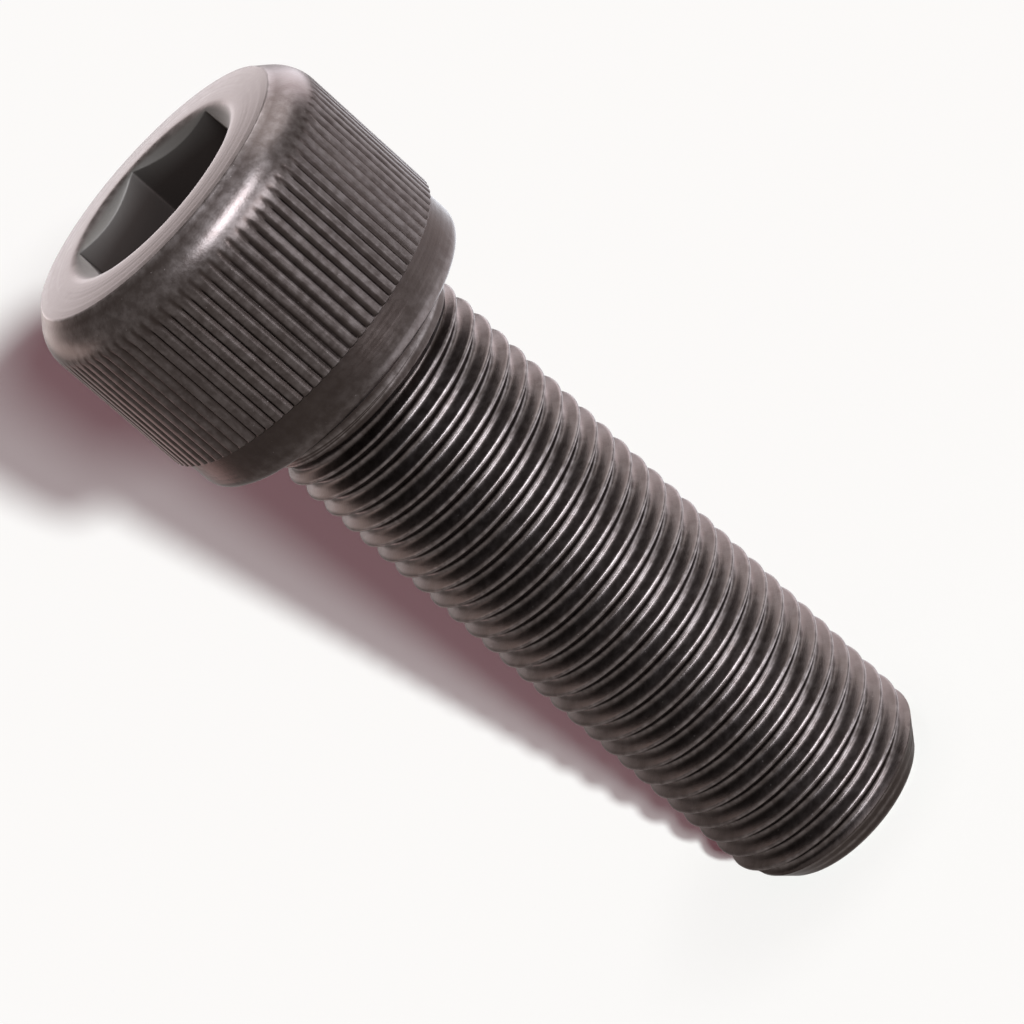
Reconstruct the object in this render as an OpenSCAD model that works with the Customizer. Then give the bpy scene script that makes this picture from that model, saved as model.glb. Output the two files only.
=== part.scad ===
// Hex socket cap screw, 1/2 in by 1-1/2 in with a fine thread, threaded up to the head.
// The screw stands on its point: z = 0 is the end face, +Z runs up through the head.
// Every height below is measured along +Z from that end face.

/* [Head] */
// Diameter over the crests of the knurl
head_d = 18.9; // [17.6:0.1:21]
// Height of the head, from the bearing face to the top
head_h = 12.7; // [11:0.1:15]
// Diameter of the flat ring on top of the head
top_flat_d = 16; // [14:0.1:16.4]
// Radius that blends the bevelled rim into the side of the head
shoulder_r = 2.2; // [0.8:0.1:2.4]
// Radius on the lower edge of the head
foot_r = 0.8; // [0.2:0.05:1.2]

/* [Knurl] */
// Number of grooves round the head
knurl_count = 88; // [60:1:100]
// Depth of a groove
knurl_depth = 0.25; // [0.1:0.01:0.4]
// Share of the pitch round the head that a groove opens to
knurl_open = 0.8; // [0.4:0.05:0.95]
// Plain head above the knurl
knurl_above = 1.9; // [1.4:0.1:4]
// Plain band below the knurl, rounded edge included
band_h = 2.55; // [1:0.05:4]
// Step from the crests of the knurl down to the plain band, which is turned below the grooves
band_step = 0.37; // [0.1:0.01:0.6]

/* [Socket] */
// Width across the flats of the hexagon
socket_af = 9.525; // [7:0.005:10]
// Depth of the flats, from the top of the head
socket_depth = 6.5; // [4:0.1:8]
// Angle of the conical floor that the punch leaves
floor_angle = 150; // [130:1:170]
// Diameter of the countersunk mouth at the top of the head
mouth_d = 11.3; // [11.2:0.1:12.6]
// Full angle of the countersunk mouth
mouth_angle = 115; // [90:5:130]

/* [Thread] */
// Major diameter of the thread
thread_d = 12.7; // [11:0.1:14]
// Distance from one crest to the next, 20 to the inch
pitch = 1.27; // [1:0.01:1.6]
// Length under the head
under_head_l = 38.1; // [20:0.1:60]
// Plain neck between the last thread and the bearing face
neck_l = 1.6; // [1:0.1:4]
// Reduction of the neck's diameter below the thread's
neck_relief = 0.3; // [0.1:0.05:0.6]
// Radius of the fillet under the head
fillet_r = 0.6; // [0.2:0.05:0.9]
// Diameter of the flat end face
end_face_d = 10.1; // [7:0.1:10.6]
// Length of the bevel at the end of the thread
end_bevel_l = 1.8; // [1:0.1:3]

/* [Hidden] */

steel = [0.30, 0.27, 0.27];

head_r = head_d / 2;
thread_r = thread_d / 2;
head_top = under_head_l + head_h;

// A 60 degree thread: crest flat of an eighth of the pitch, root flat of a quarter
thread_depth = pitch * (1 - 1/8 - 1/4) / 2 * tan(60);
root_r = thread_r - thread_depth;
crest_half = pitch / 16;
root_half = pitch / 8;
neck_r = thread_r - neck_relief / 2;

// Facets in a turn of the helix, and round a turned face
turn_steps = 36;
round_steps = 120;

// The helix starts below the end face and ends inside the neck, and both ends are then hidden or cut
lead_in = 1.75 * pitch;
lead_out = 1.5 * pitch;
thread_end = under_head_l - neck_l;
thread_steps = ceil((lead_in + thread_end + lead_out) / pitch * turn_steps);
// Length over which the last ridge sinks into the neck, and how deep it ends below its surface
runout_l = pitch;
buried = 0.3;
// Run of the tapered shoulder from the neck down to the foot of the thread
neck_taper = neck_r - root_r + 0.1;

band_r = head_r - band_step;
knurl_low = under_head_l + band_h;
knurl_high = head_top - knurl_above;

// The 45 degree bevel from the flat ring meets the shoulder arc where that arc also slopes at 45 degrees
bevel_low_r = head_r - shoulder_r * (1 - cos(45));
shoulder_z = head_top - (bevel_low_r - top_flat_d / 2) - shoulder_r * sin(45);

socket_floor = head_top - socket_depth;
// Flat border between the flats and the conical floor
floor_land = 0.2;
// How far a cut runs past the surface it opens
over = 0.5;

// Points of an arc in the section, from angle a0 to angle a1
arc_steps = 8;
function arc(cr, cz, r, a0, a1) =
  [for (i = [0 : arc_steps]) let (a = a0 + (a1 - a0) * i / arc_steps) [cr + r * cos(a), cz + r * sin(a)]];

// Neck, bearing face, plain band, side, rounded shoulder and bevelled rim, in one section
module turned_blank() {
  section = concat(
    [[0, thread_end - neck_taper], [neck_r - neck_taper, thread_end - neck_taper], [neck_r, thread_end]],
    arc(neck_r + fillet_r, under_head_l - fillet_r, fillet_r, 180, 90),
    arc(band_r - foot_r, under_head_l + foot_r, foot_r, -90, 0),
    [[band_r, knurl_low], [head_r, knurl_low]],
    arc(head_r - shoulder_r, shoulder_z, shoulder_r, 0, 45),
    [[top_flat_d / 2, head_top], [0, head_top]]
  );
  rotate_extrude($fn = round_steps) polygon(section);
}

// V grooves of the straight knurl: all that lies outside a toothed outline
module knurl_grooves() {
  step = 360 / knurl_count;
  // The flanks run a little past the crests, so the crests stay true arcs of the turned blank
  past = 0.04;
  half_open = knurl_open * (1 + past) * step / 2;
  tooth_r = head_r + past * knurl_depth;
  outline = [
    for (i = [0 : knurl_count - 1], s = [-1 : 1])
      let (a = i * step + s * half_open, r = s == 0 ? head_r - knurl_depth : tooth_r)
        [r * cos(a), r * sin(a)]
  ];
  translate([0, 0, knurl_low])
    linear_extrude(knurl_high - knurl_low)
      difference() {
        circle(r = head_r + over, $fn = round_steps);
        polygon(outline);
      }
}

// Hexagonal socket with a countersunk mouth and a shallow conical floor, one corner to the front
module socket_cut() {
  floor_r = socket_af / 2 - floor_land;
  floor_drop = floor_r / tan(floor_angle / 2);
  mouth_r = mouth_d / 2;
  mouth_drop = mouth_r / tan(mouth_angle / 2);
  mouth_over_r = mouth_r + over * tan(mouth_angle / 2);
  translate([0, 0, socket_floor])
    rotate([0, 0, 30])
      cylinder(h = socket_depth + over, d = socket_af / cos(30), $fn = 6);
  rotate_extrude($fn = round_steps)
    polygon([
      [0, socket_floor - floor_drop],
      [floor_r, socket_floor],
      [floor_r, socket_floor + over],
      [0, socket_floor + over]
    ]);
  rotate_extrude($fn = round_steps)
    polygon([[0, head_top - mouth_drop], [mouth_over_r, head_top + over], [0, head_top + over]]);
}

// Height of the helix at a step, on the middle of the crest
function step_z(s) = pitch * s / turn_steps - lead_in;
// Share of the full ridge that is left at a step: 1 in the thread, falling to 0 at the run-out's end
function ridge_left(s) = max(0, min(1, (thread_end - step_z(s)) / runout_l + 0.5));
function crest_r_at(s) = neck_r - buried + (thread_r - neck_r + buried) * ridge_left(s);

// Right-hand helical thread: four points a step, two on the crest and two on the root
module thread_helix() {
  rise = [-crest_half, crest_half, pitch / 2 - root_half, pitch / 2 + root_half];
  row = len(rise);
  ridge = [
    for (s = [0 : thread_steps], j = [0 : row - 1])
      let (a = 360 * s / turn_steps, r = j < 2 ? crest_r_at(s) : root_r)
        [r * cos(a), r * sin(a), step_z(s) + rise[j]]
  ];
  // Point j of step s. Past the row's last point comes the first one of the turn above.
  function at(s, j) = j < row ? row * s + j : row * (s + turn_steps);
  skin = [
    for (s = [0 : thread_steps - 1], j = [0 : row - 1])
      if (j < row - 1 || s + turn_steps < thread_steps)
        each [[at(s, j), at(s, j + 1), at(s + 1, j + 1)], [at(s, j), at(s + 1, j + 1), at(s + 1, j)]]
  ];
  // Each end is closed by a fan from the axis to the free edge of the last turn
  low_edge = concat([for (s = [0 : turn_steps]) at(s, 0)], [for (j = [row - 1 : -1 : 1]) at(0, j)]);
  high_edge = concat(
    [for (s = [thread_steps - turn_steps : thread_steps]) at(s, row - 1)],
    [for (j = [row - 2 : -1 : 0]) at(thread_steps, j)]
  );
  low_hub = len(ridge);
  high_hub = low_hub + 1;
  function fan(hub, edge) = [for (i = [0 : len(edge) - 1]) [hub, edge[i], edge[(i + 1) % len(edge)]]];
  function turned(faces) = [for (f = faces) [f[0], f[2], f[1]]];
  polyhedron(
    points = concat(ridge, [[0, 0, ridge[0][2]], [0, 0, ridge[low_hub - 1][2]]]),
    faces = concat(skin, fan(low_hub, low_edge), turned(fan(high_hub, high_edge)))
  );
}

// Squares the end face and bevels the first turns of the thread
module end_cut() {
  end_r = end_face_d / 2;
  bevel_slope = end_bevel_l / (thread_r - end_r);
  clear_r = thread_r + over;
  rotate_extrude($fn = round_steps)
    polygon([
      [0, -lead_in - pitch],
      [clear_r, -lead_in - pitch],
      [clear_r, (clear_r - end_r) * bevel_slope],
      [end_r, 0],
      [0, 0]
    ]);
}

// One piece of blackened steel: forged head, punched socket, rolled knurl and thread
module cap_screw() {
  color(steel)
    difference() {
      union() {
        turned_blank();
        difference() {
          thread_helix();
          end_cut();
        }
      }
      knurl_grooves();
      socket_cut();
    }
}

cap_screw();
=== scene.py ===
import math

import bmesh
import bpy
from mathutils import Matrix, Vector, noise


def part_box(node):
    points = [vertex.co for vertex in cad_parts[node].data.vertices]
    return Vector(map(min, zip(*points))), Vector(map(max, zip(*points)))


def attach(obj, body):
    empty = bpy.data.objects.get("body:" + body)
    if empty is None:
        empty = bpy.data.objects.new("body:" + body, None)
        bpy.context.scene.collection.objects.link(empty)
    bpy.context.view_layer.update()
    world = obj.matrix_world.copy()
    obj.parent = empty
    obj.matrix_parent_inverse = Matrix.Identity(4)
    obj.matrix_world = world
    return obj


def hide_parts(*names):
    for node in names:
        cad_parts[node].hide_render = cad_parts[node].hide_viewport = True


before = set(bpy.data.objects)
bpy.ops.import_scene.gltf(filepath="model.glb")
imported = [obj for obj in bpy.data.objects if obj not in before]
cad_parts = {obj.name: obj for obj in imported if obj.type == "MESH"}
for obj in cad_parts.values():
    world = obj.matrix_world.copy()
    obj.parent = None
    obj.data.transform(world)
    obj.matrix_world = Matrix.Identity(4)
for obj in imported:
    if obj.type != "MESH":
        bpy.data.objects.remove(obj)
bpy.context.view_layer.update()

mm = 0.001
fullTurn = 2 * math.pi
print("frame loaded")

# Hex socket cap screw, standing on its end with its axis on Z. Its sizes are in millimetres
# here, and turn into metres as the mesh is made.
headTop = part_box("cap_screw")[1].z / mm

points = []
faces = []
worn = []                    # how much of the blackening is rubbed off, 0 to 1
turned = []                  # 1 where a tool left rings on the steel
dry = []                     # 1 in the socket, where the blackening is dull and has no oil


def addPoint(angle, radius, height, rub=0.0, tool=0.0, dull=0.0):
    points.append((radius * math.cos(angle), radius * math.sin(angle), height))
    worn.append(rub)
    turned.append(tool)
    dry.append(dull)
    return len(points) - 1


# A ring is a list of (angle, point number), in the order of the angles. Its radius, height and
# rub are numbers, or functions of the angle.
def addRing(angles, radius, height, rub=0.0, tool=0.0, dull=0.0):
    made = []
    for a in angles:
        r = radius(a) if callable(radius) else radius
        z = height(a) if callable(height) else height
        made.append((a, addPoint(a, r, z, rub(a) if callable(rub) else rub, tool, dull)))
    return made


# Faces between two rings. Rings of unlike counts are laced together by angle.
def joinRings(low, high):
    n, m = len(low), len(high)
    if n == m:
        for i in range(n):
            j = (i + 1) % n
            faces.append((low[i][1], low[j][1], high[j][1], high[i][1]))
        return high
    i = j = 0
    while i < n or j < m:
        nextLow = low[(i + 1) % n][0] + fullTurn * ((i + 1) // n)
        nextHigh = high[(j + 1) % m][0] + fullTurn * ((j + 1) // m)
        if j == m or (i < n and nextLow <= nextHigh):
            faces.append((low[i % n][1], low[(i + 1) % n][1], high[j % m][1]))
            i += 1
        else:
            faces.append((low[i % n][1], high[(j + 1) % m][1], high[j % m][1]))
            j += 1
    return high


# The next ring of the skin, joined to the last one
def nextRing(ring, angles, radius, height, **surface):
    return joinRings(ring, addRing(angles, radius, height, **surface))


def closeRing(ring, height, up):
    hub = addPoint(0, 0, height)
    for i in range(len(ring)):
        a, b = ring[i][1], ring[(i + 1) % len(ring)][1]
        faces.append((a, b, hub) if up else (b, a, hub))


# What a user would change on the threaded shank
thread = {
    "majorRadius": 6.34,
    "pitch": 1.27,
    "depth": 0.68,
    "crestWidth": 1 / 8,     # flat of the crest, as a share of the pitch
    "rootWidth": 1 / 4,      # flat of the root, as a share of the pitch
    "crestRound": 0.055,     # how softly the crest and the root turn, as shares of the pitch
    "rootRound": 0.11,
    # Places of the points from a crest to the next root, as shares of the pitch
    "section": [0.0, 0.03, 0.055, 0.08, 0.105, 0.13, 0.26, 0.31, 0.36, 0.41, 0.455, 0.5],
    "columns": 92,           # facets a turn
    "endRadius": 5.05,       # flat end face
    "endBevel": 1.8,         # length of the bevel that cuts the first turns
    "endRound": 0.08,        # broken edge of the end face
    # Rings of that edge: shares of its round inwards and up, and wear
    "endShape": ((1.0, 0.0, 0.3), (0.3, 0.2, 0.8)),
    "endWear": 0.2,
    "firstRow": 0.12,        # height at which the helix starts
    "startTurn": 0.75,       # the helix's own start, as a share of a turn
    "neckRadius": 6.2,
    "neckStart": 36.5,       # height at which the last ridge has sunk into the neck
    "buried": 0.3,           # how far below the neck that ridge ends
    "shallower": 0.3,        # how much shallower the last root gets on its way to the neck
    "neckWear": 0.1,
    "fillet": 0.6,
    "underHead": 38.1,       # height of the bearing face
    "handled": 0.012,        # how far handling has worn the crests back
    "handledRound": 6,       # how fast that changes round the shank
    "handledAlong": 1.5,     # and along it
    "flankWear": 0.1,        # how much of the blackening is rubbed off the flanks
    "crestWear": 0.7,        # how much more off the crests, by handling
    "crestReach": 0.1,       # how far that spreads from the crest, as a share of the pitch
    "rootWear": 0.6,         # how much more off the roots, which the rolling dies polished
    "rootReach": 0.16,
}


# Share of the thread's depth at a place u of the pitch, with u = 0 on a crest. The straight
# section is averaged over a short width, which rounds its corners.
def threadDepthAt(u):
    t = min(u, 1 - u)
    start, end = thread["crestWidth"] / 2, 0.5 - thread["rootWidth"] / 2
    middle = (start + end) / 2
    w = thread["crestRound"] if t < middle else thread["rootRound"]

    def area(x):
        if x < start:
            return 0.0
        if x < end:
            return (x - start) ** 2 / 2 / (end - start)
        return (end - start) / 2 + x - end

    return (area(t + w) - area(t - w)) / 2 / w


def threadWearAt(u):
    fromCrest = min(u, 1 - u)
    onCrest = max(0.0, 1 - fromCrest / thread["crestReach"])
    onRoot = max(0.0, 1 - (0.5 - fromCrest) / thread["rootReach"])
    return thread["flankWear"] + thread["crestWear"] * onCrest + thread["rootWear"] * onRoot


def bevelRadius(z):
    slope = (thread["majorRadius"] - thread["endRadius"]) / thread["endBevel"]
    return thread["endRadius"] + z * slope


# The last ridge sinks into the neck, the last root rises towards it, and the bevel cuts the
# first turns
def shankRadius(angle, z, u):
    major, neck = thread["majorRadius"], thread["neckRadius"]
    turnsLeft = (thread["neckStart"] - z) / thread["pitch"]
    crest = neck - thread["buried"]
    crest += (major - crest) * max(0.0, min(1.0, turnsLeft + 0.5))
    root = major - thread["depth"]
    root += thread["shallower"] * max(0.0, 1 - max(0.0, turnsLeft))
    deep = threadDepthAt(u)
    r = crest - (crest - root) * deep
    across, along = thread["handledRound"], thread["handledAlong"]
    place = Vector((across * math.cos(angle), across * math.sin(angle), z * along))
    r -= thread["handled"] * (1 - deep) * (0.5 + noise.noise(place))
    if z > thread["neckStart"] - (neck - root):
        r = max(r, min(neck, neck - thread["neckStart"] + z))
    return min(r, bevelRadius(z))


# The shank's skin follows the helix. Each column of facets starts a little higher than the one
# before it, and a wedge at each end brings the helix back to a level ring.
def makeShank():
    n, pitch, start = thread["columns"], thread["pitch"], thread["firstRow"]
    section = thread["section"]
    shares = section + [1 - t for t in reversed(section[1:-1])]
    rows = len(shares)
    turns = int((thread["underHead"] - thread["fillet"] - start) / pitch) - 1
    firstAngle = fullTurn * ((start / pitch + thread["startTurn"]) % 1)
    hair = 1e-6              # keeps a crest from falling back to the turn below

    def columnAngle(i):
        return (firstAngle + fullTurn * i / n) % fullTurn

    def pointAt(i, z, rub):
        u = (z - start) / pitch - i / n
        u -= math.floor(u + hair)
        a = columnAngle(i)
        return addPoint(a, shankRadius(a, z, abs(u)), z, rub)

    columns = []
    for i in range(n):
        lift = i / n
        heights = [lift * t for t in shares] if i else [0.0] * rows
        heights += [lift + turn + t for turn in range(turns) for t in shares]
        heights += [lift + turns + t * (1 - lift) for t in shares] + [turns + 1.0]
        column = []
        for row, h in enumerate(heights):
            if i == 0 and 0 < row <= rows:
                column.append(column[0])
                continue
            share = shares[row % rows] if row < len(heights) - 1 else 0.5
            column.append(pointAt(i, start + pitch * h, threadWearAt(share)))
        columns.append(column)
    first = columns[0]
    columns.append(first[rows:] + [first[-1]] * rows)
    for left, right in zip(columns, columns[1:]):
        for k in range(len(left) - 1):
            corners = [left[k], right[k], right[k + 1], left[k + 1]]
            face = [c for q, c in enumerate(corners) if c not in corners[:q]]
            if len(face) > 2:
                faces.append(tuple(face))

    def levelRing(row):
        return sorted((columnAngle(i), columns[i][row]) for i in range(n))

    return levelRing(0), levelRing(-1), start + pitch * (turns + 1)


def makeEnd(startRing, angles):
    end, rnd = thread["endRadius"], thread["endRound"]
    ring = addRing(angles, end * 0.5, 0.0, rub=thread["endWear"], tool=1.0)
    closeRing(ring, 0.0, False)
    for inset, up, rub in thread["endShape"]:
        ring = nextRing(ring, angles, end - rnd * inset, rnd * up, rub=rub, tool=1.0)
    joinRings(ring, startRing)


# What a user would change on the head
head = {
    "radius": 9.445,         # over the crests of the knurl
    "bearingInner": 7.2,     # rings on the bearing face, where the facets turn into those of the teeth
    "bearingOuter": 7.8,
    "bandHeight": 2.55,
    "bandRadius": 9.075,
    # Rings of the plain band: distance below the knurl, wear, and tool marks
    "bandRings": ((0.9, 0.05, 1.0), (0.1, 0.05, 1.0), (0.0, 0.1, 0.0)),
    "footRound": 0.8,
    "footWear": 0.3,         # and half of that at its two ends
    "knurlCount": 88,
    "knurlDepth": 0.14,
    "knurlOpen": 0.58,       # share of a tooth's pitch that its groove opens to, its worn edge left out
    "knurlFade": 0.9,        # length over which a groove runs out at its upper end
    "knurlFadeSteps": 4,
    "toothSlope": 0.01,      # rise of a tooth's lower end, from the band out to its edge
    "knurlAbove": 1.9,
    "grooveWear": 0.05,      # how much of the blackening is rubbed off a groove
    "toothWear": 0.25,       # and how much more off a tooth
    "shoulder": 2.2,         # radius between the side and the bevelled rim
    "shoulderWear": 0.25,
    "bevelAngle": 45,
    "bevelRing": 0.45,       # how far below the top a ring holds the bevel straight
    "flatRadius": 8.0,
    "crown": 4.0,            # degrees by which the top ring falls away from the socket
    "edgeRound": 0.07,
    # The edge of the top ring: shares of its round outwards and up, wear, and tool marks
    "edgeShape": ((1.0, -1.0, 0.3, 0.0), (0.35, -0.25, 0.6, 0.0), (-1.0, 0.05, 0.3, 1.0)),
    "roundSteps": 6,         # facets across the fillet, the foot and the shoulder
    "perTooth": 10,          # facets a tooth
}

# Heights on the head that follow from its sizes
knurlLow = thread["underHead"] + head["bandHeight"]
knurlHigh = headTop - head["knurlAbove"]
bevel = math.radians(head["bevelAngle"])
bevelLow = head["radius"] - head["shoulder"] * (1 - math.cos(bevel))
shoulderStart = headTop - (bevelLow - head["flatRadius"]) - head["shoulder"] * math.sin(bevel)


# Depth of the knurl at an angle, 1 at the bottom of a groove and 0 on a tooth
def grooveAt(angle):
    place = (angle / fullTurn * head["knurlCount"]) % 1
    fromGroove = min(place, 1 - place)
    halfOpen = head["knurlOpen"] / 2
    return 0.5 + 0.5 * math.cos(math.pi * fromGroove / halfOpen) if fromGroove < halfOpen else 0.0


# Radius of the head where no groove is cut
def plainRadius(z):
    bend = head["shoulder"]
    rise = max(0.0, z - shoulderStart)
    return head["radius"] - bend + math.sqrt(bend ** 2 - rise ** 2)


# From the last ring of the thread up the neck, over the bearing face and up the plain band
def makeUnderside(ring, ringHeight, angles, fine):
    neck, fillet, under = thread["neckRadius"], thread["fillet"], thread["underHead"]
    band, foot, steps = head["bandRadius"], head["footRound"], head["roundSteps"]
    halfway = (ringHeight + under - fillet) / 2
    ring = nextRing(ring, angles, neck, halfway, rub=thread["neckWear"], tool=1.0)
    for i in range(steps + 1):
        a = math.radians(180 - 90 * i / steps)
        r, z = neck + fillet * (1 + math.cos(a)), under - fillet * (1 - math.sin(a))
        ring = nextRing(ring, angles, r, z)
    ring = nextRing(ring, angles, head["bearingInner"], under, tool=1.0)
    ring = nextRing(ring, fine, head["bearingOuter"], under, rub=0.1, tool=1.0)
    for i in range(steps + 1):
        a = math.radians(-90 + 90 * i / steps)
        r, z = band - foot * (1 - math.cos(a)), under + foot * (1 + math.sin(a))
        rub = head["footWear"] * (1 if 0 < i < steps else 0.5)
        ring = nextRing(ring, fine, r, z, rub=rub, tool=1.0)
    for below, rub, tool in head["bandRings"]:
        ring = nextRing(ring, fine, band, knurlLow - below, rub=rub, tool=tool)
    return ring


def makeKnurl(ring, fine):
    rnd, fade, fadeSteps = head["edgeRound"], head["knurlFade"], head["knurlFadeSteps"]

    def toothed(z, share, inset=0.0):
        depth = head["knurlDepth"] * share
        return lambda a: min(plainRadius(z), head["radius"] - depth * grooveAt(a)) - inset

    def rubbed(a):
        return head["grooveWear"] + head["toothWear"] * (1 - grooveAt(a)) ** 2

    ring = nextRing(ring, fine, toothed(knurlLow, 1.0, rnd), knurlLow + head["toothSlope"], rub=0.2)
    ring = nextRing(ring, fine, toothed(knurlLow, 1.0), knurlLow + rnd, rub=rubbed)
    length = knurlHigh - knurlLow
    # Rings up the teeth, which are straight from one to the next
    for z in (knurlLow + 0.2, knurlLow + length * 0.3, knurlLow + length * 0.6, knurlHigh - fade):
        ring = nextRing(ring, fine, toothed(z, 1.0), z, rub=rubbed)
    for i in range(1, fadeSteps + 1):
        left = 1 - i / fadeSteps
        z = knurlHigh - fade * left
        ring = nextRing(ring, fine, toothed(z, left), z, rub=rubbed)
    return ring


# Over the rounded shoulder and up the bevelled rim to the edge of the top ring
def makeRim(ring, fine):
    bend, steps, flat = head["shoulder"], head["roundSteps"], head["flatRadius"]
    reach = math.degrees(math.asin((knurlHigh - shoulderStart) / bend))
    for i in range(1, steps + 1):
        a = math.radians(reach + (head["bevelAngle"] - reach) * i / steps)
        z = shoulderStart + bend * math.sin(a)
        ring = nextRing(ring, fine, plainRadius(z), z, rub=head["shoulderWear"])
    below = head["bevelRing"]
    ring = nextRing(ring, fine, flat + below, headTop - below, rub=0.1)
    rnd, drop = head["edgeRound"], -topHeight(flat)
    edge, top = flat + drop, headTop - drop
    for out, up, rub, tool in head["edgeShape"]:
        ring = nextRing(ring, fine, edge + rnd * out, top + rnd * up, rub=rub, tool=tool)
    return ring


# What a user would change on the socket
socket = {
    "acrossFlats": 9.525,
    "depth": 6.5,
    "mouthRadius": 5.65,
    "mouthAngle": 115.0,     # full angle of the countersink
    "lipRadius": 1.2,        # soft edge between the top ring and the countersink
    # Rings from the top ring in to the countersink: radius, wear, and tool marks
    "topRings": ((7.2, 0.25, 1.0), (6.5, 0.25, 1.0), (6.0, 0.35, 0.0), (5.84, 0.5, 0.0), (5.67, 0.5, 0.0)),
    # Rings down the countersink: share of the way left to the flats, drop, and wear
    "coneRings": ((0.5, 0.0, 0.3), (0.06, 0.0, 0.3), (0.015, 0.025, 0.4), (0.0, 0.07, 0.2)),
    "wallRings": (1.6, 3.5),         # how far below the top they lie
    "cornerRound": 0.15,
    "cornerReach": 0.8,      # degrees from a corner within which its round lies
    "cornerSteps": [0, 0.4, 0.79, 2, 5, 10, 15, 20, 25],     # degrees from a corner to each facet's edge
    "floorRound": 0.1,
    "floorRadius": 4.56,
    "floorLand": 0.01,       # how far the flat border of the floor falls to the cone
    "floorAngle": 150.0,
}


# Height of the head's top at a radius, counted from its highest circle: the top ring falls away
# outwards, and a soft lip turns inwards into the countersink
def topHeight(r):
    lip, slope = socket["lipRadius"], 90 - socket["mouthAngle"] / 2
    start = socket["mouthRadius"] + lip * math.tan(math.radians(slope / 2))
    if r >= start:
        return -(r - start) * math.tan(math.radians(head["crown"]))
    if r > start - lip * math.sin(math.radians(slope)):
        return math.sqrt(lip ** 2 - (start - r) ** 2) - lip
    return -(socket["mouthRadius"] - r) * math.tan(math.radians(slope))


def hexRadius(angle):
    side = math.radians(60)
    fromFlat = (angle + side / 2) % side - side / 2
    half = socket["acrossFlats"] / 2
    r = half / math.cos(fromFlat)
    # The arc in the corner, seen from the axis
    rho = socket["cornerRound"]
    centre = half / math.cos(side / 2) - rho / math.sin(side)
    fromCorner = side / 2 - abs(fromFlat)
    inside = rho ** 2 - (centre * math.sin(fromCorner)) ** 2
    if inside > 0 and fromCorner < math.radians(socket["cornerReach"]):
        r = min(r, centre * math.cos(fromCorner) + math.sqrt(inside))
    return r


def makeSocket(ring):
    steps = socket["cornerSteps"]
    side = steps + [30] + [60 - t for t in reversed(steps[1:])]
    angles = sorted(math.radians((30 + 60 * k + t) % 360) for k in range(6) for t in side)
    floor, rnd, hub = headTop - socket["depth"], socket["floorRound"], socket["floorRadius"]
    coneTop = socket["topRings"][-1][0]

    def coneRing(share, drop, rub):
        def radius(a):
            return hexRadius(a) + share * (coneTop - hexRadius(a))

        def height(a):
            return headTop + topHeight(radius(a)) - drop

        return addRing(angles, radius, height, rub=rub, dull=1.0)

    def wallRing(inset, z):
        return addRing(angles, lambda a: hexRadius(a) - inset, z, dull=1.0)

    for r, rub, tool in socket["topRings"]:
        ring = nextRing(ring, angles, r, headTop + topHeight(r), rub=rub, tool=tool)
    for share, drop, rub in socket["coneRings"]:
        ring = joinRings(ring, coneRing(share, drop, rub))
    for below in socket["wallRings"]:
        ring = joinRings(ring, wallRing(0.0, headTop - below))
    for inset, up in ((0.0, 1.0), (0.3, 0.3), (1.0, 0.0)):
        ring = joinRings(ring, wallRing(rnd * inset, floor + rnd * up))
    drop = hub / math.tan(math.radians(socket["floorAngle"] / 2))
    ring = nextRing(ring, angles, hub, floor - socket["floorLand"], dull=1.0)
    ring = nextRing(ring, angles, hub * 0.5, floor - drop * 0.5, dull=1.0)
    closeRing(ring, floor - drop, True)


def makeScrew():
    low, high, highZ = makeShank()
    angles = [a for a, _ in low]
    makeEnd(low, angles)
    print("shank made,", len(points), "points")
    count = head["knurlCount"] * head["perTooth"]
    fine = [fullTurn * i / count for i in range(count)]      # the facets' edges follow the teeth
    ring = makeUnderside(high, highZ, angles, fine)
    ring = makeKnurl(ring, fine)
    ring = makeRim(ring, fine)
    print("head made,", len(points), "points")
    makeSocket(ring)
    mesh = bpy.data.meshes.new("capScrew")
    mesh.from_pydata([(x * mm, y * mm, z * mm) for x, y, z in points], [], faces)
    for name, values in (("worn", worn), ("turned", turned), ("dry", dry)):
        layer = mesh.attributes.new(name, "FLOAT", "POINT")
        layer.data.foreach_set("value", values)
    shape = bmesh.new()
    shape.from_mesh(mesh)
    bmesh.ops.recalc_face_normals(shape, faces=shape.faces)
    crease = math.radians(38)    # edges that turn more than this stay sharp
    for f in shape.faces:
        f.smooth = True
    for e in shape.edges:
        e.smooth = e.calc_face_angle(0) < crease
    openEdges = sum(1 for e in shape.edges if len(e.link_faces) != 2)
    print("socket made,", len(shape.faces), "faces,", openEdges, "open edges")
    shape.to_mesh(mesh)
    shape.free()
    screw = bpy.data.objects.new("capScrew", mesh)
    bpy.context.collection.objects.link(screw)
    return screw


def linear(hexColour):
    rgb = [int(hexColour[i:i + 2], 16) / 255 for i in (1, 3, 5)]
    return [c / 12.92 if c <= 0.04045 else ((c + 0.055) / 1.055) ** 2.4 for c in rgb] + [1.0]


def addNode(tree, kind, settings=None, links=None):
    node = tree.nodes.new(kind)
    for key, value in (settings or {}).items():
        if isinstance(key, int) or key in node.inputs:
            node.inputs[key].default_value = value
        else:
            setattr(node, key, value)
    for key, source in (links or {}).items():
        tree.links.new(source, node.inputs[key])
    return node


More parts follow.
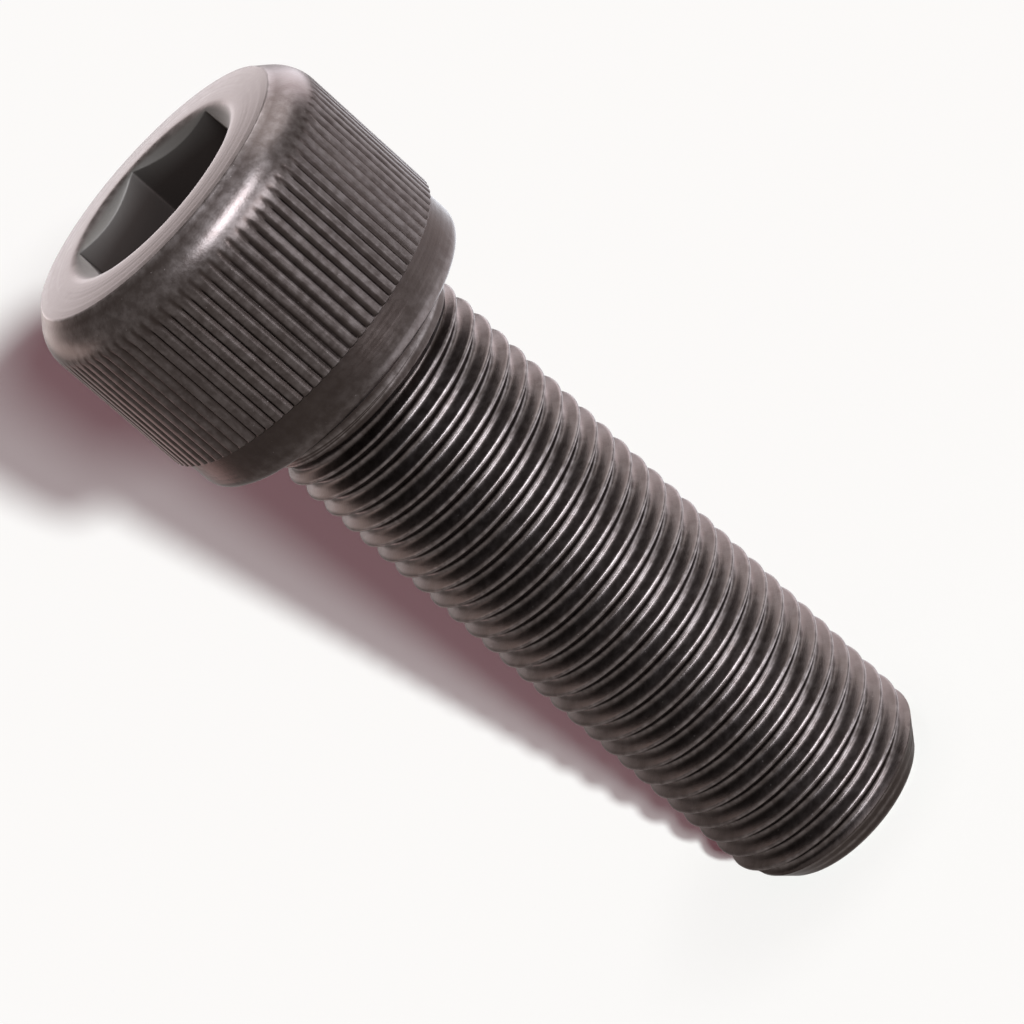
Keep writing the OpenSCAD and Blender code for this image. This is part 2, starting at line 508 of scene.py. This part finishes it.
# What a user would change on the steel. Sizes are in millimetres.
steel = {
    "black": "#312a27",
    "brown": "#28211f",
    "rubbedTo": "#726a68",
    "dust": "#8a817e",
    "dustCover": 0.3,        # how much a speck of dust hides of the steel, and dulls it
    "speck": 0.5,            # distance from one speck of dust to the next
    "speckSize": 0.06,       # its radius, as a share of that distance
    "dryLight": "#474340",   # dull greys of the socket, lighter on the countersink
    "dryDark": "#362f2c",
    "dryRoughness": 0.6,
    "coneWear": 0.3,         # wear at which the grey is the lighter one
    "edgeTint": "#cac6c5",   # the blackening dulls the shine at a glancing angle
    "roughness": 0.35,
    "roughnessSpread": 0.09,     # more and less than that, with the scuffs
    # Noises: size of the pattern, detail, and how rough it is
    "patches": (2.6, 4.0, 0.6),      # uneven patches of the blackening
    "grain": (0.14, 3.0, 0.5),       # grain that the salt bath leaves, drawn coarse to show
    "scuffs": (0.5, 4.0, 0.6),
    "scuffRange": (0.4, 0.66),       # a worn place is least rubbed at the first of these, fully at the last
    "leastRubbed": 0.4,
    "toolStep": 0.16,        # distance from one tool mark to the next, drawn coarse to show
    "bumpDepth": 0.02,       # depth of the grain and of the tool marks
    "grainStrength": 0.25,
    "toolStrength": 0.5,
}


# Black oxide steel, hot blackened and oiled over a forged and rolled surface. It gives the eye a
# dark warm grey with a satin shine, browner in patches and greyer where hands have rubbed it.
def makeBlackOxide():
    material = bpy.data.materials.new("blackOxideSteel")
    material.use_nodes = True
    tree = material.node_tree
    tree.nodes.clear()
    where = addNode(tree, "ShaderNodeTexCoord").outputs["Object"]
    wornHere, turnedHere, dryHere = [
        addNode(tree, "ShaderNodeAttribute", {"attribute_name": name}).outputs["Fac"]
        for name in ("worn", "turned", "dry")]
    patches, grain, scuffs = [
        addNode(tree, "ShaderNodeTexNoise", {"Scale": 1 / (size * mm), "Detail": detail, "Roughness": rough},
                {"Vector": where}).outputs["Fac"]
        for size, detail, rough in (steel["patches"], steel["grain"], steel["scuffs"])]

    # Two blacks in patches, greyer where the scuffs have rubbed the worn places, then the dust
    blacks = {"data_type": "RGBA", 6: linear(steel["black"]), 7: linear(steel["brown"])}
    colour = addNode(tree, "ShaderNodeMix", blacks, {0: patches}).outputs[2]
    least, most = steel["scuffRange"]
    spread = {"From Min": least, "From Max": most, "To Min": steel["leastRubbed"], "To Max": 1.0}
    rub = addNode(tree, "ShaderNodeMapRange", spread, {"Value": scuffs}).outputs[0]
    rub = addNode(tree, "ShaderNodeMath", {"operation": "MULTIPLY"}, {0: rub, 1: wornHere}).outputs[0]
    rubbedTo = {"data_type": "RGBA", 7: linear(steel["rubbedTo"])}
    colour = addNode(tree, "ShaderNodeMix", rubbedTo, {0: rub, 6: colour}).outputs[2]
    cells = {"Scale": 1 / (steel["speck"] * mm)}
    specks = addNode(tree, "ShaderNodeTexVoronoi", cells, {"Vector": where}).outputs["Distance"]
    size = steel["speckSize"]
    middles = {"From Min": size / 2, "From Max": size, "To Min": steel["dustCover"], "To Max": 0.0}
    specks = addNode(tree, "ShaderNodeMapRange", middles, {"Value": specks}).outputs[0]
    dust = {"data_type": "RGBA", 7: linear(steel["dust"])}
    colour = addNode(tree, "ShaderNodeMix", dust, {0: specks, 6: colour}).outputs[2]

    even, swing = steel["roughness"], steel["roughnessSpread"]
    rough = addNode(tree, "ShaderNodeMapRange", {"To Min": even - swing, "To Max": even + swing},
                    {"Value": scuffs}).outputs[0]
    rough = addNode(tree, "ShaderNodeMath", {"operation": "ADD"}, {0: rough, 1: specks}).outputs[0]

    # The socket is dull, and its countersink, the part that is worn, is the lighter one
    onCone = addNode(tree, "ShaderNodeMapRange", {"From Max": steel["coneWear"]},
                     {"Value": wornHere}).outputs[0]
    dryBlacks = {"data_type": "RGBA", 6: linear(steel["dryDark"]), 7: linear(steel["dryLight"])}
    dull = addNode(tree, "ShaderNodeMix", dryBlacks, {0: onCone}).outputs[2]
    colour = addNode(tree, "ShaderNodeMix", {"data_type": "RGBA"},
                     {0: dryHere, 6: colour, 7: dull}).outputs[2]
    rough = addNode(tree, "ShaderNodeMix", {3: steel["dryRoughness"]}, {0: dryHere, 2: rough}).outputs[0]

    # Tool marks run round the axis: their place is the radius plus the height
    split = addNode(tree, "ShaderNodeSeparateXYZ", None, {0: where}).outputs
    out = addNode(tree, "ShaderNodeCombineXYZ", None, {0: split[0], 1: split[1]}).outputs[0]
    out = addNode(tree, "ShaderNodeVectorMath", {"operation": "LENGTH"}, {0: out}).outputs["Value"]
    out = addNode(tree, "ShaderNodeMath", {"operation": "ADD"}, {0: out, 1: split[2]}).outputs[0]
    marks = {"noise_dimensions": "1D", "Scale": 0.5 / (steel["toolStep"] * mm), "Detail": 1.0}
    rings = addNode(tree, "ShaderNodeTexNoise", marks, {"W": out}).outputs["Fac"]
    rings = addNode(tree, "ShaderNodeMath", {"operation": "MULTIPLY"}, {0: rings, 1: turnedHere}).outputs[0]
    depth = steel["bumpDepth"] * mm
    bump = addNode(tree, "ShaderNodeBump", {"Strength": steel["grainStrength"], "Distance": depth},
                   {"Height": grain}).outputs[0]
    bump = addNode(tree, "ShaderNodeBump", {"Strength": steel["toolStrength"], "Distance": depth},
                   {"Height": rings, "Normal": bump}).outputs[0]
    shader = addNode(tree, "ShaderNodeBsdfPrincipled",
                     {"Metallic": 1.0, "Specular Tint": linear(steel["edgeTint"])},
                     {"Base Color": colour, "Roughness": rough, "Normal": bump})
    addNode(tree, "ShaderNodeOutputMaterial", None, {"Surface": shader.outputs[0]})
    return material


# 1 for rays from the eye and for those in metal or glass, 0 for light that falls on things
def seenRays(tree):
    path = addNode(tree, "ShaderNodeLightPath").outputs
    seen = path["Is Camera Ray"]
    for kind in ("Is Glossy Ray", "Is Transmission Ray"):
        seen = addNode(tree, "ShaderNodeMath", {"operation": "MAXIMUM"}, {0: seen, 1: path[kind]}).outputs[0]
    return seen


# What a user would change on the stage
stage = {
    "floorColour": "#f4f2f1",
    "liftColour": "#ff90a2",
    "floorLift": 0.05,       # brings the floor up to the white of the background, shadow kept
    "size": 3.0,             # metres from edge to edge
}


# Matt pale paper. Its lift shows to the eye and in reflections, and puts no light on the screw.
def makeFloor():
    half = stage["size"] / 2
    corners = [(-half, -half, 0), (half, -half, 0), (half, half, 0), (-half, half, 0)]
    mesh = bpy.data.meshes.new("floor")
    mesh.from_pydata(corners, [], [(0, 1, 2, 3)])
    floor = bpy.data.objects.new("floor", mesh)
    bpy.context.collection.objects.link(floor)
    material = bpy.data.materials.new("mattPaper")
    material.use_nodes = True
    tree = material.node_tree
    tree.nodes.clear()
    paper = addNode(tree, "ShaderNodeBsdfDiffuse", {"Color": linear(stage["floorColour"])})
    strength = addNode(tree, "ShaderNodeMath", {"operation": "MULTIPLY", 1: stage["floorLift"]},
                       {0: seenRays(tree)})
    glow = addNode(tree, "ShaderNodeEmission", {"Color": linear(stage["liftColour"])},
                   {"Strength": strength.outputs[0]})
    both = addNode(tree, "ShaderNodeAddShader", None, {0: paper.outputs[0], 1: glow.outputs[0]})
    addNode(tree, "ShaderNodeOutputMaterial", None, {"Surface": both.outputs[0]})
    mesh.materials.append(material)
    return floor


# What a user would change on the light. Angles are in degrees, with azimuth 0 at the front and
# 90 at +X. The lamps' distances and sizes are in metres, and they aim at a point in millimetres.
light = {
    "aim": (0, 0, 30),
    "room": 0.095,           # how much of the white that the eye sees falls on things
    "roomColour": "#ffbccb",
    "backdrop": "#ffffff",
    "lamps": {
        "key": {"azimuth": 25, "height": 46, "distance": 0.42,
                "size": (0.30, 0.08), "power": 6.4, "colour": "#eaf4ff"},
        "side": {"azimuth": 32, "height": 5, "distance": 0.45,
                 "size": (0.30, 0.18), "power": 3.4, "colour": "#eef5ff"},
        "rim": {"azimuth": 142, "height": 7, "distance": 0.42,
                "size": (0.26, 0.26), "power": 2.3, "colour": "#eff4ff"},
        "back": {"azimuth": 184, "height": 17, "distance": 0.50,
                 "size": (0.34, 0.20), "power": 1.62, "colour": "#f7f8fd"},
        "rightFill": {"azimuth": 118, "height": 42, "distance": 0.40,
                      "size": (0.27, 0.22), "power": 1.6, "colour": "#f3f9ff"},
        "headFill": {"azimuth": 230, "height": 27.6, "distance": 0.051,
                     "size": (0.05, 0.014), "power": 0.009, "colour": "#fff6f4"},
        # Two low panels lie on the paper and face up, as bright paper does
        "rightPanel": {"azimuth": 120, "height": -14.5, "distance": 0.115, "flat": True,
                       "size": (0.18, 0.20), "power": 0.43, "colour": "#ebf4ff"},
        "leftPanel": {"azimuth": 228, "height": -11.9, "distance": 0.143, "flat": True,
                      "size": (0.06, 0.06), "power": 0.05, "colour": "#ffe0e2"},
    },
    "sunColour": "#f5fffd",
    "suns": {
        "wide": {"azimuth": 7.0, "height": 15, "spread": 1.6, "power": 8.9},
        "narrow": {"azimuth": 4.6, "height": 15, "spread": 2.5, "power": 2.8},
        "overhead": {"azimuth": 80, "height": 86, "spread": 8, "power": 0.15},
    },
}


def outwards(azimuth, height):
    az, up = math.radians(azimuth), math.radians(height)
    return Vector((math.sin(az) * math.cos(up), -math.cos(az) * math.cos(up), math.sin(up)))


# A lamp stands out from the aim and lights one thing alone
def placeLamp(name, lamp, data, distance, lit):
    out = outwards(lamp["azimuth"], lamp["height"])
    made = bpy.data.objects.new(name, data)
    made.location = Vector(light["aim"]) * mm + out * distance
    made.rotation_mode = "QUATERNION"
    facing = Vector((0, 0, -1)) if lamp.get("flat") else out
    made.rotation_quaternion = facing.to_track_quat("Z", "Y")
    made.visible_camera = False
    bpy.context.collection.objects.link(made)
    made.light_linking.receiver_collection = bpy.data.collections.new(name)
    made.light_linking.receiver_collection.objects.link(lit)


def makeLight(screw, floor):
    world = bpy.data.worlds.new("room")
    bpy.context.scene.world = world
    world.use_nodes = True
    tree = world.node_tree
    tree.nodes.clear()
    seen = seenRays(tree)
    strength = addNode(tree, "ShaderNodeMapRange", {"To Min": light["room"], "To Max": 1.0},
                       {"Value": seen}).outputs[0]
    tints = {"data_type": "RGBA", 6: linear(light["roomColour"]), 7: linear(light["backdrop"])}
    tint = addNode(tree, "ShaderNodeMix", tints, {0: seen}).outputs[2]
    sky = addNode(tree, "ShaderNodeBackground", None, {"Color": tint, "Strength": strength})
    addNode(tree, "ShaderNodeOutputWorld", None, {"Surface": sky.outputs[0]})
    for name, lamp in light["lamps"].items():
        data = bpy.data.lights.new(name, "AREA")
        data.shape = "RECTANGLE"
        data.size, data.size_y = lamp["size"]
        data.energy = lamp["power"]
        data.color = linear(lamp["colour"])[:3]
        placeLamp(name, lamp, data, lamp["distance"], screw)
    # The suns fall on the floor alone, and lay the shadow beside the screw and round its foot
    for name, lamp in light["suns"].items():
        data = bpy.data.lights.new(name, "SUN")
        data.energy = lamp["power"]
        data.angle = math.radians(lamp["spread"])
        data.color = linear(light["sunColour"])[:3]
        placeLamp(name, lamp, data, 1.0, floor)


# What a user would change on the camera, in millimetres and degrees. It looks down on the head
# from the front, and is rolled so that the screw lies across the picture as in the photograph.
camera = {
    "focus": (-0.185, 0.0, 25.19),
    "distance": 230.25,
    "azimuth": 0.447,
    "height": 21.236,
    "roll": -48.722,
    "lens": 157.33,
    "sensor": 36,
    "near": 10,              # nothing closer than this is drawn
}


def makeCamera():
    az, roll = math.radians(camera["azimuth"]), math.radians(camera["roll"])
    back = outwards(camera["azimuth"], camera["height"])
    level = Vector((math.cos(az), math.sin(az), 0))
    rise = back.cross(level)
    right = level * math.cos(roll) + rise * math.sin(roll)
    data = bpy.data.cameras.new("camera")
    data.lens = camera["lens"]
    data.sensor_width = camera["sensor"]
    data.clip_start = camera["near"] * mm
    made = bpy.data.objects.new("camera", data)
    place = (Vector(camera["focus"]) + back * camera["distance"]) * mm
    turn = Matrix((right, back.cross(right), back)).transposed()
    made.matrix_world = Matrix.Translation(place) @ turn.to_4x4()
    bpy.context.collection.objects.link(made)
    bpy.context.scene.camera = made


makeCamera()
print("camera placed")
screw = makeScrew()
screw.data.materials.append(makeBlackOxide())
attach(screw, "root")
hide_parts("cap_screw")
print("screw finished")
makeLight(screw, makeFloor())
bpy.context.scene.view_settings.view_transform = "Standard"
print("stage and light finished")
